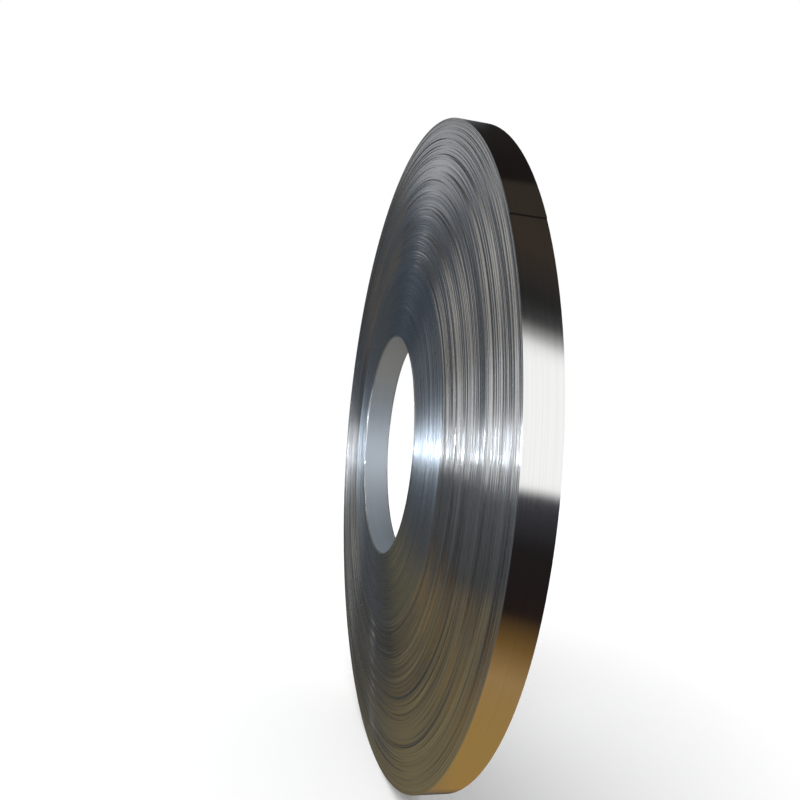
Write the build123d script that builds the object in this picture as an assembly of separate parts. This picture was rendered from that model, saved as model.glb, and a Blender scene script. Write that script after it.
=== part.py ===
# Narrow slit coil: one steel strip wound tightly on itself round an open bore, standing on its rim.
# The coil's axis is +Y and points the way its inner turns have crept, +Z is up, and the origin is
# on the floor under the axis, halfway between the coil's two ends. Sizes are in millimetres.
import math
import os

from build123d import *

# The strip and the mandrel it was wound on
OUTER_DIAMETER = 580.0
BORE_DIAMETER = 200.0
STRIP_WIDTH = 25.4
STRIP_THICKNESS = 0.5

# How far the innermost turn has crept out past the outermost one
CREEP = 11.4

# The strip winds outwards as the angle grows, from +X towards +Z. Its two ends lie at these angles,
# and each makes room for its own thickness over a lap this long.
OUTER_END_ANGLE = 147.0
OUTER_LAP_ANGLE = 120.0
INNER_END_ANGLE = 147.0
INNER_LAP_ANGLE = 60.0

# The turns wander in bands, listed from the rim inwards. Each has its depth in the wall and how far
# it stands proud. What is left of the wall, round the bore, was wound evenly and is one plain band.
WANDER_BANDS = [
    (9.0, 0.0),
    (12.5, 0.45),
    (7.0, -0.25),
    (14.0, 0.35),
    (11.0, 0.80),
    (6.5, 0.10),
    (15.5, -0.45),
    (8.5, 0.30),
    (12.0, -0.20),
    (10.5, 0.50),
    (13.0, -0.35),
    (7.5, 0.15),
]

# Cutting tools run this far past what they cut
OVERRUN = 5.0

OUTER_RADIUS = OUTER_DIAMETER / 2
BORE_RADIUS = BORE_DIAMETER / 2
WALL = OUTER_RADIUS - BORE_RADIUS
OVERALL_WIDTH = STRIP_WIDTH + CREEP


def front_height(radius, proud):
    """Where a turn's front edge lies along the axis, with its share of the creep and its wander."""
    crept = CREEP * (OUTER_RADIUS - radius) / WALL
    return STRIP_WIDTH - OVERALL_WIDTH / 2 + crept + proud


def front_profile():
    """The front end's outline as (radius, height) corners, from outside the rim in past the bore."""
    corners = []
    outer = OUTER_RADIUS + OVERRUN
    inner = OUTER_RADIUS
    for depth, proud in WANDER_BANDS:
        inner = inner - depth
        corners.append((outer, front_height(outer, proud)))
        corners.append((inner, front_height(inner, proud)))
        outer = inner
    corners.append((outer, front_height(outer, 0)))
    corners.append((BORE_RADIUS - OVERRUN, front_height(BORE_RADIUS - OVERRUN, 0)))
    return corners


def wound_wall():
    """The wall of turns. Each turn is one strip wide, so what is proud in front is sunk behind."""
    front = front_profile()
    back = [(radius, height - STRIP_WIDTH) for radius, height in reversed(front)]
    section = make_face(Polyline(*front, *back, close=True))
    return revolve(section, Axis.Y, 360)


def lap_outline(radius, end_radius, lap_angle):
    """A circle whose last stretch, up to angle 0, swings to another radius and then steps back."""
    reach = radius - end_radius * math.cos(math.radians(lap_angle))
    swing = (end_radius**2 - radius**2) / (2 * reach)
    lap_centre = Vector(-swing, 0).rotate(Axis.Z, -lap_angle)
    strip_end = Vector(end_radius, 0) - lap_centre
    sweep = lap_angle + math.degrees(math.atan2(strip_end.Y, strip_end.X))
    round_part = CenterArc((0, 0), radius, 0, 360 - lap_angle)
    lap_part = CenterArc(lap_centre, radius + swing, -lap_angle, sweep)
    step = Line(lap_part @ 1, round_part @ 0)
    return make_face([round_part, lap_part, step])


def across(outline):
    """An outline drawn in X and Z, stood up and carried across the whole width of the coil."""
    slab = extrude(outline, OVERALL_WIDTH / 2 + OVERRUN, both=True)
    return Rot(90, 0, 0) * slab


def strip_coil():
    """The finished coil, with the strip's outer end on its rim and its inner end in its bore."""
    outer_lap = mirror(lap_outline(OUTER_RADIUS, OUTER_RADIUS - STRIP_THICKNESS, OUTER_LAP_ANGLE), Plane.XZ)
    inner_lap = lap_outline(BORE_RADIUS, BORE_RADIUS + STRIP_THICKNESS, INNER_LAP_ANGLE)
    rim = across(Rot(0, 0, OUTER_END_ANGLE) * outer_lap)
    bore = across(Rot(0, 0, INNER_END_ANGLE) * inner_lap)
    coil = wound_wall() & rim
    coil = coil - bore
    return Pos(0, 0, OUTER_RADIUS) * coil


os.makedirs("parts", exist_ok=True)
export_step(strip_coil(), "parts/strip_coil.step")
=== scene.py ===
# %% [markdown]
# # A narrow coil of bright steel strip
# The object is one long strip of steel, wound tightly on itself round an open bore. This lesson
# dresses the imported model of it: the turns that show on the two ends, the mirror-bright outer
# turn, the wall of the bore, and a small studio that gives bright metal something to mirror.

# %% Load the frame
import math
import random

import bmesh
import bpy
from mathutils import Matrix, Vector


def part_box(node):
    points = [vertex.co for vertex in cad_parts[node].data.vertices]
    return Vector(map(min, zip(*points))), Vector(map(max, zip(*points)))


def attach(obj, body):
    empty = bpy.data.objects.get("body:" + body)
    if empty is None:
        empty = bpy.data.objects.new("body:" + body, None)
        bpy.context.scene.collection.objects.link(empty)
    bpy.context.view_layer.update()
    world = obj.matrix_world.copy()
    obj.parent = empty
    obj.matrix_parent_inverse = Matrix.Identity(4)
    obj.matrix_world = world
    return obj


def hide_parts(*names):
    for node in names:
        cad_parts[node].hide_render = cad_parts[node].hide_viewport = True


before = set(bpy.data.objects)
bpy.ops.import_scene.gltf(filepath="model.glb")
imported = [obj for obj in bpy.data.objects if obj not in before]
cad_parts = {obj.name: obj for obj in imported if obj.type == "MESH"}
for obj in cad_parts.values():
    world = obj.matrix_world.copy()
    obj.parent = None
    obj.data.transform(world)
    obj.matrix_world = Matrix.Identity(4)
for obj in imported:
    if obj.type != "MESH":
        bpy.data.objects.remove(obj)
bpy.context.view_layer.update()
coil_low, coil_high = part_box("strip_coil")
print("nodes", sorted(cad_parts), "box", coil_low, coil_high)

# %% [markdown]
# ## The sizes of the coil
# A strip 25.4 mm wide and half a millimetre thick was wound on a 200 mm mandrel until it was
# 580 mm across. While it was handled, the inner turns crept 11.4 mm out to one side. The axis
# lies along Y, half a coil's height above the floor. The strip's two ends lie at one angle, and
# the rim and the bore each make room for their end over a lap.

# %% Sizes, in metres and degrees
RIM_RADIUS = 0.290
BORE_RADIUS = 0.100
STRIP_WIDTH = 0.0254
STRIP_THICKNESS = 0.0005
CREEP = 0.0114
STRIP_END_ANGLE = 147.0
RIM_LAP_ANGLE = 120.0
BORE_LAP_ANGLE = 60.0
CENTRE = Vector((0.0, 0.0, RIM_RADIUS))
FRONT_BASE = STRIP_WIDTH - (STRIP_WIDTH + CREEP) / 2

# Corners closer together than this are one corner
CLOSE = 1e-6
print("wall of turns", RIM_RADIUS - BORE_RADIUS, "front edge of the rim at y", FRONT_BASE)

# %% [markdown]
# ## Bands of turns
# A strip never winds quite straight. It drifts to one side for some turns and then back, so the
# turns stand proud or sunk in bands. Only those nearest the bore were wound evenly. The bands
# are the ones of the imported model, and the place to start from for another coil.

# %% Bands, from the rim inwards: depth in the wall, and how far the band stands proud
WANDER_BANDS = [
    (0.0090, 0.0),
    (0.0125, 0.00045),
    (0.0070, -0.00025),
    (0.0140, 0.00035),
    (0.0110, 0.00080),
    (0.0065, 0.00010),
    (0.0155, -0.00045),
    (0.0085, 0.00030),
    (0.0120, -0.00020),
    (0.0105, 0.00050),
    (0.0130, -0.00035),
    (0.0075, 0.00015),
]
PLAIN_RADIUS = RIM_RADIUS - sum(depth for depth, proud in WANDER_BANDS)
print("bands", len(WANDER_BANDS), "and a plain one inside radius", round(PLAIN_RADIUS, 4))

# %% [markdown]
# ## Groups of turns
# Seen in section, the wall is a stack of strip edges. No two neighbours line up exactly, so the
# end of a coil is a staircase of tiny steps. To model every turn would take almost three times
# the faces, for steps too thin to see, so a step here is a group of turns, mostly two to four
# of them. Its height is a little off its band's, and waves as it runs round. A seeded random
# generator gives the same staircase on every run.

# %% Groups of turns, from the rim in to the bore
TURNS_IN_A_GROUP = (2, 2, 3, 3, 4)
NARROWEST_GROUP = 0.0004
WANDER_SCATTER = 0.00022
PLAIN_SCATTER = 0.00004
WAVE_SHARE = 0.4
WAVES_ROUND = (1, 2, 3, 5)

# The innermost turns stand a little proud, as a lip round the bore
LIP_DEPTH = 0.0024
LIP_PROUD = 0.0004

dice = random.Random(41)


def waves_of(scatter):
    """Reach, number round the coil and starting angle of each wave in the height of a group."""
    found = []
    for beats in WAVES_ROUND:
        reach = dice.gauss(0.0, WAVE_SHARE * scatter)
        found.append((reach, beats, dice.uniform(0, 2 * math.pi)))
    return found


def turn_groups():
    """Outer radius, inner radius, height and waves of each group."""
    found = []
    outer = RIM_RADIUS
    plain_band = PLAIN_RADIUS - BORE_RADIUS - LIP_DEPTH
    for depth, proud in WANDER_BANDS + [(plain_band, 0.0)]:
        inner = outer - depth
        scatter = PLAIN_SCATTER if depth == plain_band else WANDER_SCATTER
        radius = outer
        while radius > inner + NARROWEST_GROUP:
            step = min(dice.choice(TURNS_IN_A_GROUP) * STRIP_THICKNESS, radius - inner)
            height = proud + dice.gauss(0.0, scatter)
            found.append((radius, radius - step, height, waves_of(scatter)))
            radius = radius - step
        found[-1] = (found[-1][0], inner, *found[-1][2:])
        outer = inner
    # The outermost group neither stands proud nor waves, so that the rim keeps its width
    found[0] = (*found[0][:2], 0.0, [])
    found.append((BORE_RADIUS + LIP_DEPTH, BORE_RADIUS, LIP_PROUD, []))
    return found


groups = turn_groups()
print("groups of turns on each end", len(groups))

# %% [markdown]
# ## Corners of an end
# The groups become corners of the section, each a radius, a height along the axis and the waves
# in that height. A slit edge is not square, so each step falls back a little towards the bore
# and mirrors another direction than a flat end would. The rim and the lip do without that. One
# corner more lies under the outer turn, where the strip's outer end will stop.

# %% Corners of the front end
EDGE_LEAN = 0.08
PLAIN_LEAN = 0.01


def crept(radius):
    """How far a turn has crept along the axis."""
    return CREEP * (RIM_RADIUS - radius) / (RIM_RADIUS - BORE_RADIUS)


def front_corners():
    """Corners of the front end, from the rim to the lip."""
    corners = []
    last = len(groups) - 1
    for index, (outer, inner, height, waves) in enumerate(groups):
        lean = EDGE_LEAN if outer > PLAIN_RADIUS + CLOSE else PLAIN_LEAN
        fall = 0.0 if index in (0, last) else (outer - inner) * lean / 2
        corners.append((outer, FRONT_BASE + crept(outer) + height + fall, waves))
        if index == 0:
            under = RIM_RADIUS - STRIP_THICKNESS
            corners.append((under, FRONT_BASE + crept(under), waves))
        if index < last:
            corners.append((inner, FRONT_BASE + crept(inner) + height - fall, waves))
    return corners


print("corners of the front end", len(front_corners()))

# %% [markdown]
# ## The lip and the whole section
# The lip's corner is worn round, and a round corner catches small glints that a sharp one can't.
# An arc of a few corners makes it. Every turn is one strip wide, so the other end is the front
# end again, one strip width back: what stands proud in front is sunk behind. Only the lip's
# round corner is turned over there.

# %% Corners of the lip and of the section
LIP_ROUND = 0.0010
LIP_ARC = (0, 30, 60, 90)


def lip_corners(turned_over):
    """The rounded corner where the lip turns into the bore, in front or, turned over, behind."""
    over = BORE_RADIUS + STRIP_THICKNESS + LIP_ROUND
    corners = [(over, FRONT_BASE + crept(over) + LIP_PROUD, [])]
    for angle in LIP_ARC:
        radius = BORE_RADIUS + LIP_ROUND * (1 - math.sin(math.radians(angle)))
        down = LIP_ROUND * (1 - math.cos(math.radians(angle)))
        corners.append((radius, FRONT_BASE + crept(radius) + LIP_PROUD - down, []))
    if turned_over:
        base = FRONT_BASE + LIP_PROUD
        corners = [(radius, 2 * (base + crept(radius)) - height, waves) for radius, height, waves in corners]
    return corners


def section_corners():
    """The whole section: down the front end to the bore, and back out along the other end."""
    front = front_corners() + lip_corners(False)
    back = front_corners() + lip_corners(True)
    return front + [(radius, height - STRIP_WIDTH, waves) for radius, height, waves in reversed(back)]


section = section_corners()
print("corners in the section", len(section))

# %% [markdown]
# ## Where the strip ends
# The strip is a spiral, not a set of rings. So its outer end leaves a step of one thickness on
# the rim, and its inner end another in the bore. Just past the step the rim starts one thickness
# low, and it rises back from there. The bore's wall swings out by one thickness just before it.

# %% Radius of the outermost and of the innermost face


def rim_radius(turned):
    """Radius of the outermost face, this many degrees on from the strip's ends."""
    if turned >= RIM_LAP_ANGLE:
        return RIM_RADIUS
    share = turned / RIM_LAP_ANGLE
    return RIM_RADIUS - STRIP_THICKNESS * (1 + math.cos(math.pi * share)) / 2


def bore_radius(turned):
    """Radius of the innermost face, this many degrees on from the strip's ends."""
    lap = turned - (360 - BORE_LAP_ANGLE)
    if lap <= 0:
        return BORE_RADIUS
    share = lap / BORE_LAP_ANGLE
    return BORE_RADIUS + STRIP_THICKNESS * share * share


print("rim from", rim_radius(0), "to", rim_radius(360), "bore from", bore_radius(0), "to", bore_radius(360))

# %% [markdown]
# ## Spinning the coil
# The section is drawn once and spun round the axis, which is quick and needs no path to follow.
# The spin is left open, because its first and its last row differ where the strip ends. After
# it, each corner of each row takes its own radius and height.

# %% Spin the section
SEGMENTS = 160


def spin_section():
    """The section spun once round the Y axis, whose first and last rows are not merged yet."""
    mesh = bmesh.new()
    corners = [mesh.verts.new((radius, height, 0)) for radius, height, waves in section]
    sides = [mesh.edges.new((a, b)) for a, b in zip(corners, corners[1:] + corners[:1])]
    bmesh.ops.spin(
        mesh,
        geom=corners + sides,
        cent=(0, 0, 0),
        axis=(0, -1, 0),
        angle=2 * math.pi,
        steps=SEGMENTS,
        use_merge=False,
    )
    mesh.verts.ensure_lookup_table()
    return mesh


coil_mesh = spin_section()
print("corners spun", len(coil_mesh.verts))

# %% Let the turns wave and the strip end


def place_corners(mesh):
    """Give each corner its radius and height, by how far round from the strip's ends it lies."""
    for vert in mesh.verts:
        row, corner = divmod(vert.index, len(section))
        drawn, height, waves = section[corner]
        turned = 360 * row / SEGMENTS
        wander = sum(reach * math.sin(math.radians(beats * turned) + start) for reach, beats, start in waves)
        radius = drawn
        if drawn == RIM_RADIUS:
            radius = rim_radius(turned)
        if drawn < BORE_RADIUS + STRIP_THICKNESS + LIP_ROUND - CLOSE:
            radius += bore_radius(turned) - BORE_RADIUS
        across = Vector((vert.co.x, 0, vert.co.z)).normalized() * radius
        vert.co = Vector((across.x, height + wander + crept(radius) - crept(drawn), across.z))


place_corners(coil_mesh)
print("y from", min(vert.co.y for vert in coil_mesh.verts), "to", max(vert.co.y for vert in coil_mesh.verts))

# %% [markdown]
# ## Closing the coil
# Merging doubles closes the last row on the first. Only at the step do they differ, so there two
# slots stay open, which are the cut ends of the strip, and these are filled. The coil is then
# turned until the ends are in their place, and lifted onto the floor.

# %% Close the coil and stand it up


def close_coil(mesh):
    """Merge the rows, fill the cut ends, and turn and lift the coil to its place."""
    bmesh.ops.remove_doubles(mesh, verts=mesh.verts, dist=CLOSE)
    cut_ends = [edge for edge in mesh.edges if edge.is_boundary]
    print("edges round the strip's cut ends", len(cut_ends))
    bmesh.ops.holes_fill(mesh, edges=cut_ends, sides=0)
    to_strip_end = Matrix.Rotation(-math.radians(STRIP_END_ANGLE), 3, "Y")
    bmesh.ops.rotate(mesh, verts=mesh.verts, cent=(0, 0, 0), matrix=to_strip_end)
    bmesh.ops.recalc_face_normals(mesh, faces=mesh.faces)
    bmesh.ops.translate(mesh, verts=mesh.verts, vec=CENTRE)


close_coil(coil_mesh)
print("faces", len(coil_mesh.faces), "open edges", sum(edge.is_boundary for edge in coil_mesh.edges))

# %% [markdown]
# ## Which faces are which
# Seven finishes meet on the coil. Most of it is slit edges, of the wandering bands and of the
# plain one. The others are the rolled face of the last turn, the inner face of the first, the
# slivers of face that show where a turn stands proud, the lip, and the sheared ends of the
# strip. Where a face lies and which way it looks is enough to tell them apart. Corners between
# steps are marked sharp, so that round the coil the shading stays smooth, and across it each
# step shows.

# %% Sort the faces
FINISHES = [
    "wandering_edges",
    "rolled_face",
    "bore_face",
    "proud_faces",
    "plain_edges",
    "lip_of_the_bore",
    "sheared_end_painted_shade",
]
# The strip's faces look this little along the axis, or less, and the bore's wall less still
FACE_TILT = 0.2
BORE_FACE_TILT = 0.05
# A sheared end looks this little towards or away from the axis, or less
SHEARED_TILT = 0.5
RIM_MARGIN = 0.0002
SHARP_ANGLE = math.radians(12)


def finish_of(face):
    """The name of the finish that a face of the coil has."""
    centre = face.calc_center_median() - CENTRE
    radius = math.hypot(centre.x, centre.z)
    rolled = abs(face.normal.y) < FACE_TILT
    if rolled and abs(face.normal.x * centre.x + face.normal.z * centre.z) < SHEARED_TILT * radius:
        return "sheared_end_painted_shade"
    if radius < BORE_RADIUS + STRIP_THICKNESS + LIP_ROUND:
        return "bore_face" if abs(face.normal.y) < BORE_FACE_TILT else "lip_of_the_bore"
    if rolled:
        return "rolled_face" if radius > RIM_RADIUS - STRIP_THICKNESS - RIM_MARGIN else "proud_faces"
    return "wandering_edges" if radius > PLAIN_RADIUS else "plain_edges"


def sort_faces(mesh):
    """Give each face its finish, and mark the corners between the steps sharp."""
    for face in mesh.faces:
        face.smooth = True
        face.material_index = FINISHES.index(finish_of(face))
    lip = FINISHES.index("lip_of_the_bore")
    for edge in mesh.edges:
        on_lip = all(face.material_index == lip for face in edge.link_faces)
        edge.smooth = on_lip or edge.calc_face_angle(0.0) < SHARP_ANGLE


sort_faces(coil_mesh)
kinds = [face.material_index for face in coil_mesh.faces]
print("faces of each finish", {name: kinds.count(index) for index, name in enumerate(FINISHES)})

# %% [markdown]
# ## The coil in the scene
# The dressed coil is one piece that stands in for the plain solid. It belongs to the body that
# the solid belongs to.

# %% Put the coil in the scene
coil_data = bpy.data.meshes.new("wound_strip")
coil_mesh.to_mesh(coil_data)
coil_mesh.free()
coil = bpy.data.objects.new("wound_strip", coil_data)
bpy.context.scene.collection.objects.link(coil)
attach(coil, "root")
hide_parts("strip_coil")
print("triangles", sum(len(polygon.vertices) - 2 for polygon in coil_data.polygons))

# %% [markdown]
# ## Helpers for nodes
# Materials are built from nodes. Adding and linking them one by one takes many lines, so a few
# short helpers do it. Each adds one node to a tree, fills its inputs with plain values or with
# other nodes' outputs, and gives back its own output.

# %% Node helpers


def add(tree, kind, **settings):
    """A new node, which is the one thing here that gives back itself and not its output."""
    node = tree.nodes.new(kind)
    for name, value in settings.items():
        setattr(node, name, value)
    return node


def math_node(tree, operation, first, second=None):
    node = add(tree, "ShaderNodeMath", operation=operation)
    for socket, value in zip(node.inputs, (first, second)):
        if isinstance(value, (int, float)):
            socket.default_value = value
        elif value is not None:
            tree.links.new(value, socket)
    return node.outputs[0]


def vector_node(tree, operation, first, second=None):
    node = add(tree, "ShaderNodeVectorMath", operation=operation)
    tree.links.new(first, node.inputs[0])
    other = node.inputs["Scale"] if operation == "SCALE" else node.inputs[1]
    if isinstance(second, tuple):
        other.default_value = second
    elif second is not None:
        tree.links.new(second, other)
    return node.outputs["Value"] if operation == "LENGTH" else node.outputs["Vector"]


def split_vector(tree, vector):
    """The three parts of a vector, under the names X, Y and Z."""
    node = add(tree, "ShaderNodeSeparateXYZ")
    tree.links.new(vector, node.inputs[0])
    return node.outputs


def noise_node(tree, vector, scale, detail, roughness):
    node = add(tree, "ShaderNodeTexNoise", noise_dimensions="3D")
    node.inputs["Scale"].default_value = scale
    node.inputs["Detail"].default_value = detail
    node.inputs["Roughness"].default_value = roughness
    tree.links.new(vector, node.inputs["Vector"])
    return node.outputs["Fac"]


helpers = (add, math_node, vector_node, split_vector, noise_node)
print("helpers", [helper.__name__ for helper in helpers])

# %% [markdown]
# ## A node group for the lines of the turns
# The lines on the ends run round the coil and change quickly across it. The group first turns
# the place of a point into how far it is from the axis, and into its direction from the axis, as
# a point on a unit circle. Noise that is read at that direction and at the stretched radius
# makes lines that run far round and are thin across, with no seam where the circle closes.
#
# The same noise tilts the surface. Most slit edges of a real coil lean only a little in or out,
# and a few lean far, so a high power of the noise is added to it. All of them shiver along their
# run. The few that lean far make a streak of light narrow with a sparkling foot, where a
# rougher surface would spread it into a dull band.

# %% A new group, and its sockets
LINE_INPUTS = {"Line Spacing": 0.0011, "Run Round": 0.6, "Steepness": 1.0, "Flare": 600.0, "Shiver": 0.1}
LINE_OUTPUTS = {"Lines": "NodeSocketFloat", "Bands": "NodeSocketFloat", "Normal": "NodeSocketVector"}


def new_group(name, inputs, outputs):
    """A node group whose first input is a point on the coil, with its start and its end."""
    tree = bpy.data.node_groups.new(name, "ShaderNodeTree")
    tree.interface.new_socket("From Axis", in_out="INPUT", socket_type="NodeSocketVector")
    for socket_name, value in inputs.items():
        socket = tree.interface.new_socket(socket_name, in_out="INPUT", socket_type="NodeSocketFloat")
        socket.default_value = value
    for socket_name, kind in outputs.items():
        tree.interface.new_socket(socket_name, in_out="OUTPUT", socket_type=kind)
    return tree, add(tree, "NodeGroupInput"), add(tree, "NodeGroupOutput")


print("inputs", list(LINE_INPUTS), "outputs", list(LINE_OUTPUTS))

# %% The group for slit edges
# How often each noise changes across the turns and round the coil, against the finest lines
FINE_LINES = (1.0, 1.0)
BROAD_BANDS = (0.12, 1.0)
LEANS = (0.9, 1.3)
SHIVERS = (1.0, 30.0)
BANDS_IN_LEAN = 0.35
FLARE_POWER = 4.0


def centred(tree, noise, strength):
    """Noise moved to lie round zero, and made stronger or weaker."""
    return math_node(tree, "MULTIPLY", math_node(tree, "SUBTRACT", noise, 0.5), strength)


def make_line_group():
    """Point on the coil in; fine lines, broad bands and the normal of the slit edges out."""
    tree, start, end = new_group("lines_of_the_turns", LINE_INPUTS, LINE_OUTPUTS)
    flat = vector_node(tree, "MULTIPLY", start.outputs["From Axis"], (1, 0, 1))
    outward = vector_node(tree, "NORMALIZE", flat)
    parts = split_vector(tree, outward)
    round_x = math_node(tree, "MULTIPLY", parts["X"], start.outputs["Run Round"])
    round_z = math_node(tree, "MULTIPLY", parts["Z"], start.outputs["Run Round"])
    turn = math_node(tree, "DIVIDE", vector_node(tree, "LENGTH", flat), start.outputs["Line Spacing"])

    def lines_at(across, run):
        place = add(tree, "ShaderNodeCombineXYZ")
        tree.links.new(math_node(tree, "MULTIPLY", round_x, run), place.inputs["X"])
        tree.links.new(math_node(tree, "MULTIPLY", turn, across), place.inputs["Y"])
        tree.links.new(math_node(tree, "MULTIPLY", round_z, run), place.inputs["Z"])
        return place.outputs[0]

    fine = noise_node(tree, lines_at(*FINE_LINES), 1.0, 2.0, 0.6)
    broad = noise_node(tree, lines_at(*BROAD_BANDS), 1.0, 3.0, 0.6)
    slope = noise_node(tree, lines_at(*LEANS), 1.0, 2.0, 0.6)
    slope = centred(tree, math_node(tree, "ADD", slope, centred(tree, broad, BANDS_IN_LEAN)), 1.0)
    flare = math_node(tree, "POWER", slope, FLARE_POWER)
    flare = math_node(tree, "MULTIPLY", flare, start.outputs["Flare"])
    slope = math_node(tree, "MULTIPLY", slope, math_node(tree, "ADD", flare, start.outputs["Steepness"]))
    shiver = noise_node(tree, lines_at(*SHIVERS), 1.0, 1.0, 0.5)
    shiver = centred(tree, shiver, start.outputs["Shiver"])
    round_the_coil = vector_node(tree, "CROSS_PRODUCT", outward, (0, 1, 0))
    lean = vector_node(tree, "SCALE", outward, slope)
    lean = vector_node(tree, "ADD", lean, vector_node(tree, "SCALE", round_the_coil, shiver))
    surface = add(tree, "ShaderNodeNewGeometry")
    leaning = vector_node(tree, "ADD", surface.outputs["Normal"], lean)
    tree.links.new(fine, end.inputs["Lines"])
    tree.links.new(broad, end.inputs["Bands"])
    tree.links.new(vector_node(tree, "NORMALIZE", leaning), end.inputs["Normal"])
    return tree


line_group = make_line_group()
print(line_group.name, "has", len(line_group.nodes), "nodes")

# %% [markdown]
# ## The slit edges of the strip
# On the ends, light falls on hundreds of slit edges that all run round the coil. They scatter
# it widely across the turns and hardly at all along them, which is why a coil, like a record,
# shows one bright streak on each side of its bore. An anisotropic shader does the same: its
# tangent runs round the Y axis, and the highlight is stretched at right angles to it. The edges
# of the plain band are finer, darker and bluer. They lean more evenly, and none of them far.

# %% Helpers for finishes
finishes = {}


def new_material(name):
    """A bare metal, kept under its name, and its tree and shader."""
    material = bpy.data.materials.new(name)
    material.use_nodes = True
    tree = material.node_tree
    tree.nodes.clear()
    shader = add(tree, "ShaderNodeBsdfPrincipled")
    shader.inputs["Metallic"].default_value = 1.0
    output = add(tree, "ShaderNodeOutputMaterial")
    tree.links.new(shader.outputs[0], output.inputs["Surface"])
    finishes[name] = material
    return tree, shader


def from_axis(tree):
    """Object coordinates, moved so that the coil's axis is at zero."""
    coords = add(tree, "ShaderNodeTexCoord")
    mapping = add(tree, "ShaderNodeMapping")
    mapping.inputs["Location"].default_value = -CENTRE
    tree.links.new(coords.outputs["Object"], mapping.inputs["Vector"])
    return mapping.outputs[0]


def ramp_node(tree, value, low, high, to_low=0.0, to_high=1.0):
    node = add(tree, "ShaderNodeMapRange", clamp=True)
    for name, number in (("From Min", low), ("From Max", high), ("To Min", to_low), ("To Max", to_high)):
        node.inputs[name].default_value = number
    tree.links.new(value, node.inputs["Value"])
    return node.outputs["Result"]


def colour_ramp(tree, value, stops):
    node = add(tree, "ShaderNodeValToRGB")
    ramp = node.color_ramp
    while len(ramp.elements) < len(stops):
        ramp.elements.new(0.5)
    for element, (place, colour) in zip(ramp.elements, stops):
        element.position = place
        element.color = (*colour, 1)
    tree.links.new(value, node.inputs["Fac"])
    return node.outputs["Color"]


helpers = (new_material, from_axis, ramp_node, colour_ramp)
print("helpers", [helper.__name__ for helper in helpers])

# %% Finish of the ends
LINES_IN_TONE = 0.6
BANDS_IN_TONE = 0.4
# Between these values of the noise the tone and the roughness go from one end to the other
TONE_RANGE = (0.32, 0.68)
ROUGH_RANGE = (0.42, 0.58)
# The highlight is stretched across the tangent, a quarter of a turn from it
ACROSS_THE_LINES = 0.25


def slit_edges(name, dark, pale, smooth, rough, anisotropy, line_values):
    """Slit edges side by side: two tones, how smooth and how stretched, and the group's values."""
    tree, shader = new_material(name)
    lines = add(tree, "ShaderNodeGroup", node_tree=line_group)
    tree.links.new(from_axis(tree), lines.inputs["From Axis"])
    for word, value in line_values.items():
        lines.inputs[word].default_value = value
    fine = math_node(tree, "MULTIPLY", lines.outputs["Lines"], LINES_IN_TONE)
    tone = math_node(tree, "ADD", fine, math_node(tree, "MULTIPLY", lines.outputs["Bands"], BANDS_IN_TONE))
    colour = colour_ramp(tree, tone, list(zip(TONE_RANGE, (dark, pale))))
    tree.links.new(colour, shader.inputs["Base Color"])
    roughness = ramp_node(tree, lines.outputs["Lines"], *ROUGH_RANGE, smooth, rough)
    tree.links.new(roughness, shader.inputs["Roughness"])
    tree.links.new(lines.outputs["Normal"], shader.inputs["Normal"])
    tangent = add(tree, "ShaderNodeTangent", direction_type="RADIAL", axis="Y")
    tree.links.new(tangent.outputs[0], shader.inputs["Tangent"])
    shader.inputs["Anisotropic"].default_value = anisotropy
    shader.inputs["Anisotropic Rotation"].default_value = ACROSS_THE_LINES


slit_edges(
    "wandering_edges",
    dark=(0.46, 0.47, 0.49),
    pale=(0.70, 0.71, 0.72),
    smooth=0.15,
    rough=0.21,
    anisotropy=1.0,
    line_values={"Line Spacing": 0.0011, "Steepness": 0.35, "Flare": 900.0, "Shiver": 0.02},
)
slit_edges(
    "plain_edges",
    dark=(0.35, 0.39, 0.44),
    pale=(0.46, 0.51, 0.57),
    smooth=0.20,
    rough=0.42,
    anisotropy=0.90,
    line_values={"Line Spacing": 0.0004, "Steepness": 0.8, "Flare": 100.0, "Shiver": 0.03},
)
print("finishes", sorted(finishes))

# %% [markdown]
# ## A node group for rolled strip
# The faces of the strip come from polished rolls. Only faint lines run along it from them, and
# it is never quite flat, so what it mirrors has slightly soft edges. Five finishes share this
# surface, so it is a group: noise that is stretched along the strip gives the lines, and a broad
# one gives the waviness. Burrs are a third noise, which only the lip turns up.

# %% The group for rolled strip
ROLLED_OUTPUTS = {"Lines": "NodeSocketFloat", "Height": "NodeSocketFloat"}
LINES_PER_METRE = (4, 900, 4)
WAVES_PER_METRE = 22.0
BURRS_PER_METRE = 260.0
LINE_DEPTH = 0.006


def make_rolled_group():
    """Point on the coil in; the lines of the rolls and the height of the surface out."""
    tree, start, end = new_group("rolled_strip", {"Burrs": 0.0}, ROLLED_OUTPUTS)
    place = start.outputs["From Axis"]
    stretched = add(tree, "ShaderNodeMapping")
    stretched.inputs["Scale"].default_value = LINES_PER_METRE
    tree.links.new(place, stretched.inputs["Vector"])
    lines = noise_node(tree, stretched.outputs[0], 1.0, 3.0, 0.6)
    waves = noise_node(tree, place, WAVES_PER_METRE, 1.0, 0.5)
    burrs = noise_node(tree, place, BURRS_PER_METRE, 1.0, 0.5)
    burrs = math_node(tree, "MULTIPLY", burrs, start.outputs["Burrs"])
    height = math_node(tree, "ADD", waves, math_node(tree, "MULTIPLY", lines, LINE_DEPTH))
    tree.links.new(lines, end.inputs["Lines"])
    tree.links.new(math_node(tree, "ADD", height, burrs), end.inputs["Height"])
    return tree


rolled_group = make_rolled_group()
print(rolled_group.name, "has", len(rolled_group.nodes), "nodes")
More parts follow.
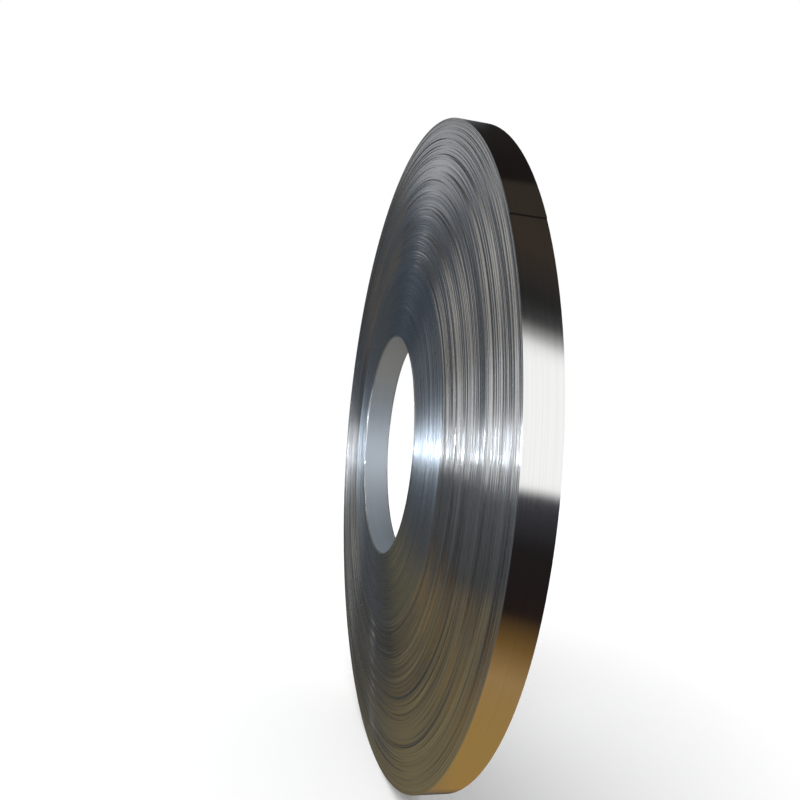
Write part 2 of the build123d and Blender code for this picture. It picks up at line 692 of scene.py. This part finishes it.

# %% [markdown]
# ## The painted shadow at the strip's end
# A thin dark line of painted shadow lies across the rim, at the foot of the step where the strip
# ends, where the step's shade falls. A mask by the angle round the axis draws it exactly at the
# step, which a line drawn on a texture could miss.

# %% Painted shadow at the foot of the step
# Colour of the painted shadow at the foot of the step
PAINTED_STEP_SHADOW = (0.22, 0.20, 0.18)
# In radians past the strip's end: where the painted shadow is full, where it starts to thin and where it
# stops
PAINTED_SHADOW_FULL = 0.0002
PAINTED_SHADOW_THINS = 0.0020
PAINTED_SHADOW_STOPS = 0.0050


def mix_colours(tree, share, first, second):
    """The first colour where the share is zero, fading to the second where it is one."""
    node = add(tree, "ShaderNodeMix", data_type="RGBA")
    tree.links.new(share, node.inputs["Factor"])
    for name, colour in (("A", first), ("B", second)):
        if isinstance(colour, tuple):
            node.inputs[name].default_value = (*colour, 1)
        else:
            tree.links.new(colour, node.inputs[name])
    return node.outputs["Result"]


def draw_painted_step_shadow(tree, place, colour):
    """A colour with the thin line of painted shadow at the step drawn over it."""
    parts = split_vector(tree, place)
    angle = math_node(tree, "ARCTAN2", parts["Z"], parts["X"])
    past = math_node(tree, "SUBTRACT", angle, math.radians(STRIP_END_ANGLE))
    starts = ramp_node(tree, past, 0.0, PAINTED_SHADOW_FULL)
    thins = ramp_node(tree, past, PAINTED_SHADOW_THINS, PAINTED_SHADOW_STOPS, 1.0, 0.0)
    return mix_colours(tree, math_node(tree, "MULTIPLY", starts, thins), colour, PAINTED_STEP_SHADOW)


# How far round the rim the painted shadow at the step reaches
print("painted shadow reaches", round(1000 * RIM_RADIUS * PAINTED_SHADOW_STOPS, 2), "mm past the step")

# %% [markdown]
# ## The faces of the strip
# The outer turn is rolled to a mirror. The slivers between the steps are the same face, a little
# less clean. The wall of the bore is dulled, as if rubbed by the mandrel. The lip is worn and
# burred, so it breaks the light into small glints. The sheared ends are rough, as a shear leaves a
# torn surface, and their near-black colour is painted shade, for the shadow in the gap at the
# step. The rolled face has a thin line of painted shadow at the foot of that step.

# %% Finish of the faces
BUMP_STRENGTH = 0.3
BUMP_DISTANCE = 0.0004
# The lines of the rolls are a little darker, and change the roughness by a tenth either way
DARKER = 0.96
LINE_TONE_RANGE = (0.35, 0.6)
LINE_ROUGH_RANGE = (0.3, 0.7)


def strip_face(name, base, roughness, with_painted_step_shadow=False, burrs=0.0):
    """A face of the strip: its colour, how rough it is, and its painted step shadow and burrs where it has
    any.
    """
    tree, shader = new_material(name)
    place = from_axis(tree)
    rolled = add(tree, "ShaderNodeGroup", node_tree=rolled_group)
    tree.links.new(place, rolled.inputs["From Axis"])
    rolled.inputs["Burrs"].default_value = burrs
    lines = rolled.outputs["Lines"]
    darker = tuple(DARKER * value for value in base)
    colour = colour_ramp(tree, lines, list(zip(LINE_TONE_RANGE, (darker, base))))
    # Where asked, a thin line of painted shadow is drawn at the foot of the strip's step
    if with_painted_step_shadow:
        colour = draw_painted_step_shadow(tree, place, colour)
    tree.links.new(colour, shader.inputs["Base Color"])
    uneven = ramp_node(tree, lines, *LINE_ROUGH_RANGE, roughness * 0.9, roughness * 1.1)
    tree.links.new(uneven, shader.inputs["Roughness"])
    bump = add(tree, "ShaderNodeBump")
    bump.inputs["Strength"].default_value = BUMP_STRENGTH
    bump.inputs["Distance"].default_value = BUMP_DISTANCE
    tree.links.new(rolled.outputs["Height"], bump.inputs["Height"])
    tree.links.new(bump.outputs[0], shader.inputs["Normal"])


# The rolled face carries the painted shadow at the foot of the step
strip_face("rolled_face", (0.78, 0.78, 0.77), 0.09, with_painted_step_shadow=True)
strip_face("bore_face", (0.82, 0.90, 0.98), 0.6)
strip_face("proud_faces", (0.76, 0.75, 0.73), 0.16)
strip_face("lip_of_the_bore", (0.60, 0.62, 0.65), 0.34, burrs=30.0)
# The sheared end's near-black colour is painted shade, for the shadow in the gap at the step
strip_face("sheared_end_painted_shade", (0.08, 0.075, 0.07), 0.5)
for name in FINISHES:
    coil_data.materials.append(finishes[name])
print("materials", [material.name for material in coil_data.materials])

# %% [markdown]
# ## The floor
# A pale, plain floor keeps the coil's soft shadow. It glows a little for the camera, so that its
# far part meets the white behind it without a line. The glow is a shader of its own, added to
# the matt one, so each can be set alone. The metal doesn't mirror this floor: the cards further
# on are there for that.

# %% Floor
FLOOR_RADIUS = 14.0
FLOOR_TONE = 0.86
FLOOR_GLOW = 0.10


def light_seen(tree):
    """One for rays from the camera, and for rays that metal or glass sends on."""
    path = add(tree, "ShaderNodeLightPath")
    shiny = math_node(tree, "MAXIMUM", path.outputs["Is Glossy Ray"], path.outputs["Is Transmission Ray"])
    return math_node(tree, "MAXIMUM", path.outputs["Is Camera Ray"], shiny)


def floor_material():
    material = bpy.data.materials.new("pale_floor")
    material.use_nodes = True
    tree = material.node_tree
    tree.nodes.clear()
    matt = add(tree, "ShaderNodeBsdfDiffuse")
    matt.inputs["Color"].default_value = (FLOOR_TONE, FLOOR_TONE, FLOOR_TONE, 1)
    glow = add(tree, "ShaderNodeEmission")
    tree.links.new(math_node(tree, "MULTIPLY", light_seen(tree), FLOOR_GLOW), glow.inputs["Strength"])
    both = add(tree, "ShaderNodeAddShader")
    tree.links.new(matt.outputs[0], both.inputs[0])
    tree.links.new(glow.outputs[0], both.inputs[1])
    output = add(tree, "ShaderNodeOutputMaterial")
    tree.links.new(both.outputs[0], output.inputs["Surface"])
    return material


def studio_piece(name, mesh, material):
    """A piece of the studio, made from a bmesh and linked to the scene."""
    data = bpy.data.meshes.new(name)
    mesh.to_mesh(data)
    mesh.free()
    data.materials.append(material)
    piece = bpy.data.objects.new(name, data)
    bpy.context.scene.collection.objects.link(piece)
    return piece


floor_mesh = bmesh.new()
bmesh.ops.create_circle(floor_mesh, cap_ends=True, segments=64, radius=FLOOR_RADIUS)
floor = studio_piece("floor", floor_mesh, floor_material())
floor.visible_glossy = False
print("floor across", 2 * FLOOR_RADIUS)

# %% [markdown]
# ## What the metal mirrors
# Bright metal has no colour of its own to show: it shows the room. A photographer stands white,
# black and coloured cards round it. Here one large ball round the coil does the work of all of
# them, and only mirrored rays see it. A card is a ramp of colours by elevation, in degrees above
# the horizon, because most of what the coil mirrors lies in level bands. Which card hangs where
# is told by direction: along X, away from the camera's side; sideways along Y, towards the
# visible end; and height.

# %% A card


def card(tree, height, stops):
    """Colours by how high a direction points, given as degrees above the horizon."""
    level = ramp_node(tree, height, -1.0, 1.0)
    return colour_ramp(tree, level, [((1 + math.sin(math.radians(up))) / 2, colour) for up, colour in stops])


print("the horizon lies at", (1 + math.sin(0)) / 2, "of a card's ramp")

# %% [markdown]
# The rim sees three cards, past the hidden end: a tall bright window on the camera's side, the
# room on the other side, and, nearer to square with the axis, a wall with one pale band, which
# the bore sees too. Under the first two all is tan. The window is hung askew, and more so at
# its top, as its mirror image on the rim is.

# %% Cards that the rim and the bore mirror
WINDOW_SIDE = [
    (-90, (0.36, 0.22, 0.06)),
    (-62, (0.35, 0.22, 0.09)),
    (-52, (0.18, 0.10, 0.03)),
    (-42, (0.018, 0.012, 0.011)),
    (-24, (0.016, 0.014, 0.014)),
    (-9.6, (0.050, 0.050, 0.060)),
    (-6.8, (1.15, 1.15, 1.15)),
    (26.5, (1.15, 1.15, 1.15)),
    (29.5, (1.0, 1.0, 1.0)),
    (32.5, (0.40, 0.40, 0.40)),
    (36, (0.05, 0.05, 0.05)),
    (42, (0.022, 0.022, 0.022)),
    (56, (0.045, 0.034, 0.027)),
    (68, (0.034, 0.028, 0.022)),
    (90, (0.034, 0.028, 0.022)),
]
ROOM_SIDE = [
    (-90, (0.36, 0.23, 0.07)),
    (-48, (0.34, 0.20, 0.06)),
    (-36, (0.06, 0.06, 0.06)),
    (-27, (0.05, 0.05, 0.05)),
    (-23, (0.34, 0.35, 0.36)),
    (-14, (0.34, 0.35, 0.36)),
    (-10, (0.08, 0.085, 0.09)),
    (0, (0.06, 0.065, 0.07)),
    (30, (0.02, 0.02, 0.02)),
    (58, (0.016, 0.013, 0.012)),
    (90, (0.010, 0.008, 0.008)),
]
WALL_ACROSS = [
    (-90, (0.10, 0.11, 0.12)),
    (-45, (0.09, 0.10, 0.11)),
    (-20, (0.05, 0.05, 0.06)),
    (-10, (0.06, 0.06, 0.07)),
    (-7, (0.45, 0.47, 0.51)),
    (24, (0.45, 0.47, 0.51)),
    (36, (0.20, 0.20, 0.21)),
    (50, (0.03, 0.03, 0.03)),
    (90, (0.03, 0.03, 0.03)),
]


def cards_of_the_rim(tree, along, side, height):
    """What is mirrored towards the hidden end."""
    askew = ramp_node(tree, side, -0.45, -0.35, 0.05, -0.05)
    askew = math_node(tree, "MULTIPLY", askew, ramp_node(tree, height, 0.0, 0.55, 0.5, 1.2))
    window = card(tree, math_node(tree, "ADD", height, askew), WINDOW_SIDE)
    seen = mix_colours(tree, ramp_node(tree, along, 0.06, 0.10), window, card(tree, height, ROOM_SIDE))
    return mix_colours(tree, ramp_node(tree, side, -0.30, -0.22), seen, card(tree, height, WALL_ACROSS))


print("stops of the rim's cards", len(WINDOW_SIDE), len(ROOM_SIDE), len(WALL_ACROSS))

# %% [markdown]
# The visible end mirrors what lies beyond it. Its slit edges lean in and out, so each of them
# sees a fan of directions. Behind the coil hangs a narrow bright card, which only the outermost
# turns near the top catch. Beside it and beyond it the cards are grey, tan below and pale
# overhead. On the camera's side, before the coil, a warm white card hangs high.

# %% Cards that the visible end mirrors
BEHIND_COIL = [
    (-90, (0.10, 0.09, 0.07)),
    (-32, (0.20, 0.16, 0.09)),
    (-26, (0.19, 0.15, 0.08)),
    (-22, (0.05, 0.046, 0.040)),
    (-18, (0.038, 0.038, 0.036)),
    (-12, (0.080, 0.082, 0.080)),
    (0, (0.060, 0.072, 0.086)),
    (11, (0.055, 0.070, 0.090)),
    (14, (0.075, 0.09, 0.11)),
    (18, (0.12, 0.14, 0.16)),
    (20.5, (0.45, 0.47, 0.50)),
    (23, (0.75, 0.75, 0.75)),
    (27, (0.22, 0.22, 0.22)),
    (31, (0.10, 0.10, 0.10)),
    (60, (0.10, 0.10, 0.10)),
]
BESIDE_COIL = [
    (-90, (0.30, 0.24, 0.12)),
    (-33, (0.30, 0.24, 0.12)),
    (-30.5, (0.09, 0.09, 0.09)),
    (-18, (0.14, 0.145, 0.15)),
    (-10, (0.14, 0.16, 0.17)),
    (-3, (0.14, 0.16, 0.17)),
    (5, (0.10, 0.11, 0.13)),
    (20, (0.10, 0.11, 0.13)),
    (35, (0.08, 0.08, 0.08)),
    (50, (0.15, 0.15, 0.15)),
    (70, (0.50, 0.50, 0.50)),
    (90, (0.60, 0.60, 0.60)),
]
BEYOND_END = [
    (-90, (0.28, 0.20, 0.09)),
    (-50, (0.20, 0.155, 0.08)),
    (-36, (0.10, 0.10, 0.09)),
    (-26, (0.11, 0.115, 0.12)),
    (-5, (0.15, 0.165, 0.18)),
    (5, (0.09, 0.10, 0.11)),
    (30, (0.06, 0.065, 0.07)),
    (55, (0.20, 0.20, 0.20)),
    (90, (0.50, 0.50, 0.50)),
]
BEFORE_COIL = [
    (-90, (0.36, 0.24, 0.08)),
    (-64, (0.34, 0.22, 0.08)),
    (-57, (0.09, 0.105, 0.12)),
    (-10, (0.08, 0.085, 0.095)),
    (0, (0.11, 0.12, 0.14)),
    (18, (0.17, 0.17, 0.18)),
    (28, (0.45, 0.43, 0.40)),
    (40, (0.85, 0.82, 0.77)),
    (60, (0.85, 0.82, 0.77)),
    (90, (0.50, 0.50, 0.50)),
]
print("stops of the end's cards", len(BEHIND_COIL), len(BESIDE_COIL), len(BEYOND_END), len(BEFORE_COIL))

# %% [markdown]
# Where a turn stands proud, a sliver of its bright face shows beside the next edge, and through
# that edge it sees the window again. The turns beyond the bore look at everything from farther
# round. There one plain card hangs, and the window is dimmer. Between two cards lies a fade, not
# a hard edge, as the slit edges would spread it anyway.

# %% Cards for the slivers and for the turns beyond the bore
WINDOW_NEAR = [
    (-90, (0.36, 0.22, 0.06)),
    (-62, (0.35, 0.22, 0.09)),
    (-52, (0.18, 0.10, 0.03)),
    (-42, (0.050, 0.048, 0.045)),
    (-24, (0.050, 0.052, 0.056)),
    (-9.6, (0.06, 0.06, 0.07)),
    (-6.8, (1.10, 1.10, 1.10)),
    (26.5, (1.10, 1.10, 1.10)),
    (36, (0.70, 0.68, 0.64)),
    (48, (0.60, 0.58, 0.54)),
    (90, (0.60, 0.58, 0.54)),
]
WINDOW_FAR = [
    (-50, (0.06, 0.065, 0.07)),
    (-28, (0.13, 0.14, 0.155)),
    (-14, (0.19, 0.20, 0.22)),
    (0, (0.30, 0.32, 0.35)),
    (9, (0.50, 0.52, 0.55)),
    (18, (0.34, 0.36, 0.39)),
    (30, (0.11, 0.12, 0.13)),
    (45, (0.05, 0.05, 0.05)),
    (90, (0.04, 0.04, 0.04)),
]
FAR_ROUND = [
    (-60, (0.08, 0.09, 0.10)),
    (-12, (0.08, 0.082, 0.08)),
    (0, (0.06, 0.072, 0.086)),
    (30, (0.08, 0.085, 0.09)),
    (60, (0.05, 0.05, 0.05)),
]


def cards_of_the_end(tree, along, side, height):
    """What is mirrored towards the visible end."""
    slant = math_node(tree, "MULTIPLY", along, ramp_node(tree, height, -0.3, 0.0, 0.325, 0.0))
    beside = card(tree, math_node(tree, "SUBTRACT", height, slant), BESIDE_COIL)
    far_round = card(tree, height, FAR_ROUND)
    near = ramp_node(tree, side, 0.20, 0.28)
    before = mix_colours(tree, near, far_round, card(tree, height, BEFORE_COIL))
    window = mix_colours(tree, near, card(tree, height, WINDOW_FAR), card(tree, height, WINDOW_NEAR))
    seen = mix_colours(tree, ramp_node(tree, side, 0.19, 0.22), far_round, card(tree, height, BEHIND_COIL))
    seen = mix_colours(tree, ramp_node(tree, side, 0.24, 0.42), seen, beside)
    seen = mix_colours(tree, ramp_node(tree, side, 0.50, 0.70), seen, card(tree, height, BEYOND_END))
    seen = mix_colours(tree, ramp_node(tree, along, 0.05, 0.35), before, seen)
    return mix_colours(tree, ramp_node(tree, along, -0.50, -0.25), window, seen)


print("stops of these cards", len(WINDOW_NEAR), len(WINDOW_FAR), len(FAR_ROUND))

# %% [markdown]
# Two cards are for other views. From the far side the rim would mirror nothing but the dark
# room, so one soft window hangs there, where hardly an edge of the visible end looks. And tan
# lies only close below the coil: far off to either end the cards below are grey, so that the
# ends stay steel grey for whoever looks down on them.

# %% Cards for other views
FAR_WINDOW = [
    (-32, (0.05, 0.05, 0.05)),
    (-28, (0.38, 0.38, 0.39)),
    (-4, (0.38, 0.38, 0.39)),
    (2, (0.06, 0.06, 0.06)),
    (60, (0.04, 0.04, 0.04)),
]
GREY_FLOOR = [
    (-90, (0.17, 0.17, 0.165)),
    (-55, (0.19, 0.19, 0.19)),
    (-38, (0.14, 0.145, 0.15)),
]


def cards_for_other_views(tree, along, side, height, seen):
    """What is seen already, with the far window and the grey floor laid over it."""
    between = ramp_node(tree, side, -0.12, -0.08)
    between = math_node(tree, "MULTIPLY", between, ramp_node(tree, side, 0.03, 0.06, 1.0, 0.0))
    between = math_node(tree, "MULTIPLY", between, ramp_node(tree, along, 0.10, 0.40))
    seen = mix_colours(tree, between, seen, card(tree, height, FAR_WINDOW))
    far_off = ramp_node(tree, math_node(tree, "ABSOLUTE", side), 0.45, 0.55)
    below = math_node(tree, "MULTIPLY", far_off, ramp_node(tree, height, -0.62, -0.50, 1.0, 0.0))
    return mix_colours(tree, below, seen, card(tree, height, GREY_FLOOR))


print("stops of these cards", len(FAR_WINDOW), len(GREY_FLOOR))

# %% [markdown]
# The ball that carries the cards has its faces turned inwards. A direction from the coil's
# middle picks the card, so the ball's own shape doesn't show, and few faces are enough. It glows
# for mirrored rays alone: to the camera, to matt surfaces and to shadows it isn't there.

# %% Hang the cards on the surround
SURROUND_RADIUS = 4.0


def surround_material():
    material = bpy.data.materials.new("surround_cards")
    material.use_nodes = True
    tree = material.node_tree
    tree.nodes.clear()
    parts = split_vector(tree, vector_node(tree, "NORMALIZE", from_axis(tree)))
    along, side, height = parts["X"], parts["Y"], parts["Z"]
    of_the_rim = cards_of_the_rim(tree, along, side, height)
    of_the_end = cards_of_the_end(tree, along, side, height)
    seen = mix_colours(tree, ramp_node(tree, side, -0.13, -0.07), of_the_rim, of_the_end)
    glow = add(tree, "ShaderNodeEmission")
    tree.links.new(cards_for_other_views(tree, along, side, height, seen), glow.inputs["Color"])
    output = add(tree, "ShaderNodeOutputMaterial")
    tree.links.new(glow.outputs[0], output.inputs["Surface"])
    return material


surround_mesh = bmesh.new()
bmesh.ops.create_icosphere(surround_mesh, subdivisions=4, radius=SURROUND_RADIUS)
bmesh.ops.reverse_faces(surround_mesh, faces=surround_mesh.faces)
bmesh.ops.translate(surround_mesh, verts=surround_mesh.verts, vec=CENTRE)
surround = studio_piece("surround", surround_mesh, surround_material())
surround.visible_camera = False
surround.visible_diffuse = False
surround.visible_shadow = False
surround.visible_transmission = False
print("surround of radius", SURROUND_RADIUS, "with", len(surround.data.polygons), "faces")

# %% [markdown]
# ## Lamps for the streaks
# A streak on the turns is the mirror image of one lamp, drawn out by the slit edges. Each lamp
# is a small panel far beyond the visible end, and it sends a narrow beam at one side of the bore
# so that it leaves the rest of the end alone. How high it stands sets where its streak lies. A
# faint one lifts the plain band round the bore, and the smallest makes the lip glint.

# %% Strip lamps
LAMP_COLOUR = (0.90, 0.95, 1.0)


def strip_lamp(name, place, aim, size, power, beam):
    """A rectangular area lamp in watts, whose beam is this many degrees across."""
    data = bpy.data.lights.new(name, "AREA")
    data.shape = "RECTANGLE"
    data.size, data.size_y = size
    data.spread = math.radians(beam)
    data.energy = power
    data.color = LAMP_COLOUR
    lamp = bpy.data.objects.new(name, data)
    lamp.location = place
    lamp.rotation_euler = (Vector(aim) - Vector(place)).to_track_quat("-Z", "Y").to_euler()
    bpy.context.scene.collection.objects.link(lamp)
    print(name, "stands", round((Vector(aim) - Vector(place)).length, 2), "m from what it lights")


strip_lamp(
    "near_streak",
    place=(-0.10, 1.70, 0.36),
    aim=(-0.285, 0.0, 0.30),
    size=(0.3, 0.03),
    power=0.20,
    beam=12,
)
strip_lamp(
    "far_streak",
    place=(0.45, 1.80, 0.325),
    aim=(0.295, 0.0, 0.27),
    size=(0.3, 0.03),
    power=0.26,
    beam=12,
)
strip_lamp(
    "lip_glints",
    place=(0.10, 1.80, 0.34),
    aim=(0.075, 0.02, 0.29),
    size=(0.03, 0.06),
    power=0.016,
    beam=2,
)
strip_lamp(
    "inner_glow",
    place=(1.75, 1.50, 0.18),
    aim=(-0.13, 0.0, 0.29),
    size=(0.15, 0.03),
    power=0.0042,
    beam=6,
)

# %% [markdown]
# ## Soft light and a white room
# A broad sun, high up between the camera and the visible end, gives the floor its gentle shadow.
# It is kept out of mirrors, where the cards do that work. The world lights everything evenly,
# and the camera sees it as plain white behind the floor.

# %% Sun and world
SUN_POWER = 2.0
SUN_ACROSS = 50
SUN_DIRECTION = Vector((0.35, -0.45, -1.0))
WORLD_LIGHT = 0.6

key_data = bpy.data.lights.new("soft_key", "SUN")
key_data.energy = SUN_POWER
key_data.angle = math.radians(SUN_ACROSS)
key = bpy.data.objects.new("soft_key", key_data)
key.rotation_euler = SUN_DIRECTION.to_track_quat("-Z", "Y").to_euler()
key.visible_glossy = False
bpy.context.scene.collection.objects.link(key)

world = bpy.data.worlds.new("white_room")
bpy.context.scene.world = world
world.use_nodes = True
world_tree = world.node_tree
world_tree.nodes.clear()
sky = add(world_tree, "ShaderNodeBackground")
sky.inputs["Color"].default_value = (1, 1, 1, 1)
strength = ramp_node(world_tree, light_seen(world_tree), 0, 1, WORLD_LIGHT, 1.0)
world_tree.links.new(strength, sky.inputs["Strength"])
world_out = add(world_tree, "ShaderNodeOutputWorld")
world_tree.links.new(sky.outputs[0], world_out.inputs["Surface"])
print("sun", SUN_POWER, "world", WORLD_LIGHT, "lamps", len(bpy.data.lights))

# %% [markdown]
# ## The camera
# The camera stands close to the rim, a little above the coil's middle, and looks almost along
# the ends. It is rolled by a few degrees, because in the picture the coil leans.

# %% Camera
CAMERA_PLACE = Vector((-0.6573, 0.1659, 0.3189))
CAMERA_AIM = Vector((-0.0005, 0.0085, 0.3317))
CAMERA_ROLL = -4.51
CAMERA_LENS = 32.29
CAMERA_SENSOR = 36.0

camera_data = bpy.data.cameras.new("camera")
camera_data.lens = CAMERA_LENS
camera_data.sensor_width = CAMERA_SENSOR
camera = bpy.data.objects.new("camera", camera_data)
aimed = (CAMERA_AIM - CAMERA_PLACE).to_track_quat("-Z", "Y").to_matrix().to_4x4()
rolled = Matrix.Rotation(math.radians(-CAMERA_ROLL), 4, "Z")
camera.matrix_world = Matrix.Translation(CAMERA_PLACE) @ aimed @ rolled
bpy.context.scene.collection.objects.link(camera)
bpy.context.scene.camera = camera
bpy.context.scene.view_settings.view_transform = "Standard"
print("camera", round((CAMERA_PLACE - CENTRE).length, 3), "m from the coil's middle")

# %% [markdown]
# ## The last update
# The view layer is brought up to date once more.

# %% Finish
bpy.context.view_layer.update()
